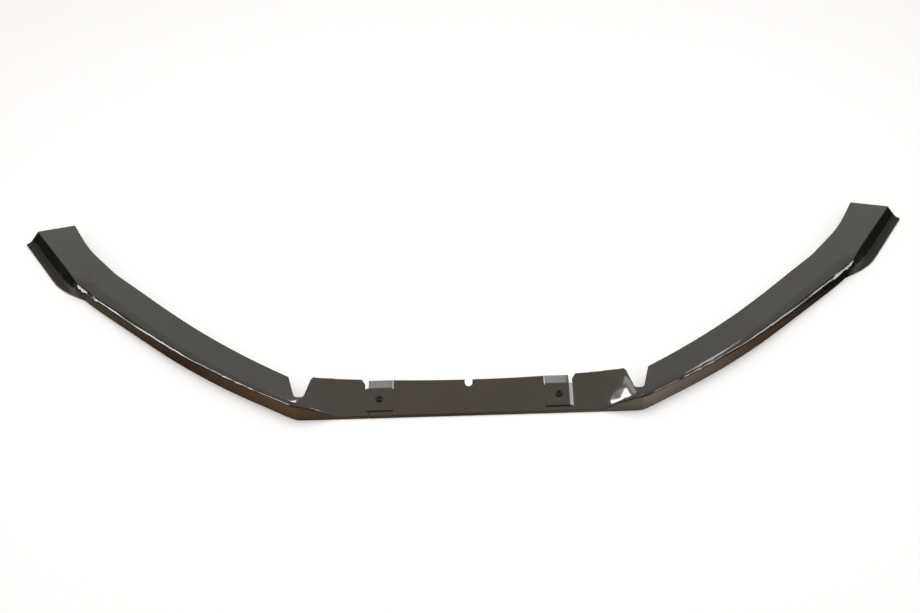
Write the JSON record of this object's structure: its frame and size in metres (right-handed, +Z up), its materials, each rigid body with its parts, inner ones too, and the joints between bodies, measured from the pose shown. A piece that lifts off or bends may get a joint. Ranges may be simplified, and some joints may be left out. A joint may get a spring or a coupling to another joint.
{
  "type": "front splitter lip",
  "caption": "Black moulded front lip for a car bumper: inclined centre plate lapped and screwed to swept side sections with a flat flange, rounded crease and flared end winglets.",
  "frame": {"origin": "middle of the front edge, at the height of the lower edges that the part rests on", "axes": "+X across the car, to the right as seen from in front of and above the lip; +Y from the front edge to the rear; +Z up"},
  "size_m": [1.6982, 0.5313, 0.0349],
  "materials": {
    "moulding": "gloss black, faintly brown, lightly handled",
    "fastener": "black oxide, satin"
  },
  "bodies": {
    "root": {"centre_section": "moulding", "right_side_section": "moulding", "left_side_section": "moulding", "joint_screws": "fastener", "joint_nuts": "fastener"}
  },
  "joints": []
}
